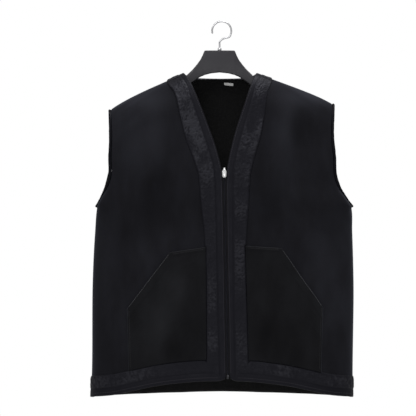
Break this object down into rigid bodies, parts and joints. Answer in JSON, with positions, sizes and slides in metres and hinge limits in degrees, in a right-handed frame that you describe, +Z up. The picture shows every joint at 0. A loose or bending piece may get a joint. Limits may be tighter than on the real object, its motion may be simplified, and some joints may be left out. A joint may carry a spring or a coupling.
{
  "type": "sheepskin vest on a hanger",
  "caption": "Sleeveless zip-front vest of suede sheepskin with wool inside, wrinkled leather bands, slant patch pockets and V-neck, hung on a broad hook hanger",
  "frame": {"origin": "the top of the hook's inside, where it sits on a rail", "axes": "X to the viewer's right across the shoulders, the front faces -Y, Z up along the hook's shaft"},
  "size_m": [0.6034, 0.1204, 0.8619],
  "materials": {
    "suede": "matt black suede with a short nap, wool on its inside",
    "trim": "black smooth leather, wrinkled, with a soft sheen",
    "zip_tape": "black woven tape with dark metal teeth",
    "zip_metal": "bright nickel",
    "label": "white woven label, blank",
    "hanger_plastic": "black moulded plastic, satin",
    "hook_metal": "bright steel wire"
  },
  "bodies": {
    "garment": {"back": "suede", "neck_band_back": "trim", "hem_band_back": "trim", "front_left": "suede", "front_band_left": "trim", "hem_band_front_left": "trim", "armhole_binding_left": "trim", "pocket_left": "suede", "zip_half_left": "zip_tape", "front_right": "suede", "front_band_right": "trim", "hem_band_front_right": "trim", "armhole_binding_right": "trim", "pocket_right": "suede", "zip_half_right": "zip_tape", "zip_slider": "zip_metal", "zip_end_box": "zip_metal", "size_label": "label", "hanger": "hanger_plastic", "hook": "hook_metal", "hook_ferrule": "hook_metal"},
    "pull_tab": {"zip_pull_tab": "zip_metal"}
  },
  "joints": [
    {"name": "pull_tab_hinge", "type": "hinge", "parent": "garment", "child": "pull_tab", "pos_m": [0.00529, -0.0564, -0.34005], "axis": [-1, 0, 0], "range_deg": [0, 165]}
  ]
}
